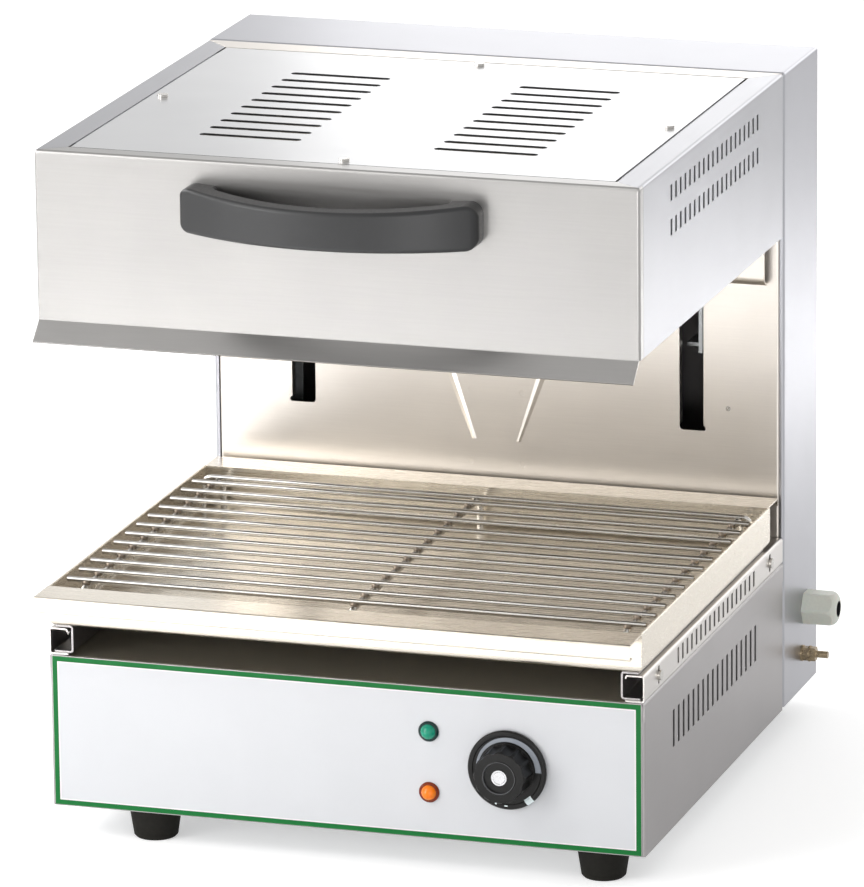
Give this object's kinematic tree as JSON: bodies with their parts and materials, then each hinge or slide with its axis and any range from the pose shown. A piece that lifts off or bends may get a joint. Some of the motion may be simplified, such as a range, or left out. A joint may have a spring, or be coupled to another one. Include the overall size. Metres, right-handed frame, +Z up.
{
  "type": "lift-top salamander grill",
  "caption": "Counter-top cheese melter: a handled heater hood slides down a rear column over a wire grid in a pull-out drip pan, with a thermostat knob and two lamps in the base.",
  "frame": {"origin": "middle of the outline's footprint, on the counter under the feet", "axes": "+X to the right seen from the front, +Y from the front to the back, +Z up; the control panel and handle face -Y"},
  "size_m": [0.4788, 0.522, 0.5174],
  "materials": {
    "hood_steel": "vertical-grain brushed stainless sheet",
    "hood_side_steel": "brushed stainless sheet",
    "body_steel": "brushed stainless sheet",
    "panel_steel": "satin stainless sheet",
    "bright_steel": "bright rolled stainless sheet",
    "grid_wire": "bright plated wire",
    "galvanised": "zinc-coated sheet",
    "screw_steel": "plain steel",
    "overlay_film": "pale printed film with a green border",
    "black_plastic": "fine-grain black moulding",
    "knob_plastic": "black moulding",
    "cap_metal": "satin disc",
    "green_lens": "translucent green",
    "orange_lens": "translucent amber",
    "foot_rubber": "matte",
    "grey_nylon": "pale grey moulding",
    "brass": "plain turned",
    "element_sheath": "dark oxidised sheath",
    "ceramic": "white ceramic",
    "fibre": "white fibre board",
    "weight_iron": "bare cast block",
    "rope_steel": "stranded wire rope",
    "roller_nylon": "natural nylon",
    "pulley_nylon": "natural nylon",
    "thermostat_case": "moulded case",
    "lamp_bezel": "black moulding",
    "shaft_steel": "turned steel",
    "rubber_terminal": "moulded block"
  },
  "bodies": {
    "base": {"base_side_left": "body_steel", "base_side_right": "body_steel", "base_front_panel": "body_steel", "front_overlay": "overlay_film", "base_bottom_plate": "galvanised", "base_top_plate": "body_steel", "feet": "foot_rubber", "housing_screws": "screw_steel", "rail_left": "body_steel", "rail_right": "body_steel", "rail_screws": "screw_steel", "column_shell": "hood_side_steel", "column_back_cover": "body_steel", "column_front_panel": "panel_steel", "panel_rivets": "screw_steel", "guide_rails": "galvanised", "pulley_brackets": "galvanised", "pulley_axles": "shaft_steel", "rope_over_pulleys": "rope_steel", "thermostat_body": "thermostat_case", "lamp_bodies": "lamp_bezel", "lamp_lens_green": "green_lens", "lamp_lens_orange": "orange_lens", "gland_body": "grey_nylon", "gland_dome_nut": "grey_nylon", "gland_locknut": "grey_nylon", "earth_terminal": "brass", "terminal_block": "rubber_terminal"},
    "hood": {"hood_front_panel": "hood_steel", "hood_side_left": "hood_side_steel", "hood_side_right": "hood_side_steel", "hood_rear_wall": "panel_steel", "hood_top_plate": "hood_side_steel", "top_plate_screws": "screw_steel", "reflector": "bright_steel", "insulation": "fibre", "heating_element_front": "element_sheath", "heating_element_rear": "element_sheath", "element_bushes": "ceramic", "element_supports": "galvanised", "handle": "black_plastic", "handle_screws": "screw_steel", "carriage_plates": "galvanised", "carriage_screws": "screw_steel", "roller_pins": "shaft_steel", "rope_hood_side": "rope_steel"},
    "counterweight": {"counterweight": "weight_iron", "rope_weight_side": "rope_steel"},
    "tray": {"tray_pan": "bright_steel", "tray_runners": "body_steel"},
    "grid": {"wire_grid": "grid_wire"},
    "control_knob": {"knob": "knob_plastic", "knob_cap": "cap_metal", "thermostat_shaft": "shaft_steel"},
    "pulley_left": {"pulley_left": "pulley_nylon"},
    "roller_left_lower": {"roller_left_lower": "roller_nylon"},
    "roller_left_upper": {"roller_left_upper": "roller_nylon"},
    "pulley_right": {"pulley_right": "pulley_nylon"},
    "roller_right_lower": {"roller_right_lower": "roller_nylon"},
    "roller_right_upper": {"roller_right_upper": "roller_nylon"}
  },
  "joints": [
    {"name": "hood_lift", "type": "slide", "parent": "base", "child": "hood", "axis": [0, 0, 1], "range_m": [-0.15, 0], "deforming": ["rope_hood_side"]},
    {"name": "counterweight_slide", "type": "slide", "parent": "base", "child": "counterweight", "axis": [0, 0, 1], "range_m": [0, 0.15], "deforming": ["rope_weight_side"]},
    {"name": "tray_slide", "type": "slide", "parent": "base", "child": "tray", "axis": [0, -1, 0], "range_m": [0, 0.25]},
    {"name": "grid_lift", "type": "slide", "parent": "tray", "child": "grid", "axis": [0, 0, 1], "range_m": [0, 0.035]},
    {"name": "thermostat_turn", "type": "hinge", "parent": "base", "child": "control_knob", "pos_m": [0.1115, -0.2082, 0.0809], "axis": [0, 1, 0], "range_deg": [0, 300]},
    {"name": "pulley_left_turn", "type": "hinge", "parent": "base", "child": "pulley_left", "pos_m": [-0.1311, 0.2058, 0.47], "axis": [0, 1, 0], "range_deg": [-278, 0]},
    {"name": "roller_left_lower_turn", "type": "hinge", "parent": "hood", "child": "roller_left_lower", "pos_m": [-0.1806, 0.18005, 0.328], "axis": [1, 0, 0], "range_deg": [0, 583]},
    {"name": "roller_left_upper_turn", "type": "hinge", "parent": "hood", "child": "roller_left_upper", "pos_m": [-0.1806, 0.18005, 0.4774], "axis": [1, 0, 0], "range_deg": [-583, 0]},
    {"name": "pulley_right_turn", "type": "hinge", "parent": "base", "child": "pulley_right", "pos_m": [0.1067, 0.2058, 0.47], "axis": [0, 1, 0], "range_deg": [0, 278]},
    {"name": "roller_right_lower_turn", "type": "hinge", "parent": "hood", "child": "roller_right_lower", "pos_m": [0.1562, 0.18005, 0.328], "axis": [1, 0, 0], "range_deg": [0, 583]},
    {"name": "roller_right_upper_turn", "type": "hinge", "parent": "hood", "child": "roller_right_upper", "pos_m": [0.1562, 0.18005, 0.4774], "axis": [1, 0, 0], "range_deg": [-583, 0]}
  ],
  "couplings": [
    {"joint": "counterweight_slide", "follows": "hood_lift", "ratio": -1},
    {"joint": "pulley_left_turn", "follows": "hood_lift", "rad_per_m": 32.258},
    {"joint": "roller_left_lower_turn", "follows": "hood_lift", "rad_per_m": -67.797},
    {"joint": "roller_left_upper_turn", "follows": "hood_lift", "rad_per_m": 67.797},
    {"joint": "pulley_right_turn", "follows": "hood_lift", "rad_per_m": -32.258},
    {"joint": "roller_right_lower_turn", "follows": "hood_lift", "rad_per_m": -67.797},
    {"joint": "roller_right_upper_turn", "follows": "hood_lift", "rad_per_m": 67.797}
  ]
}
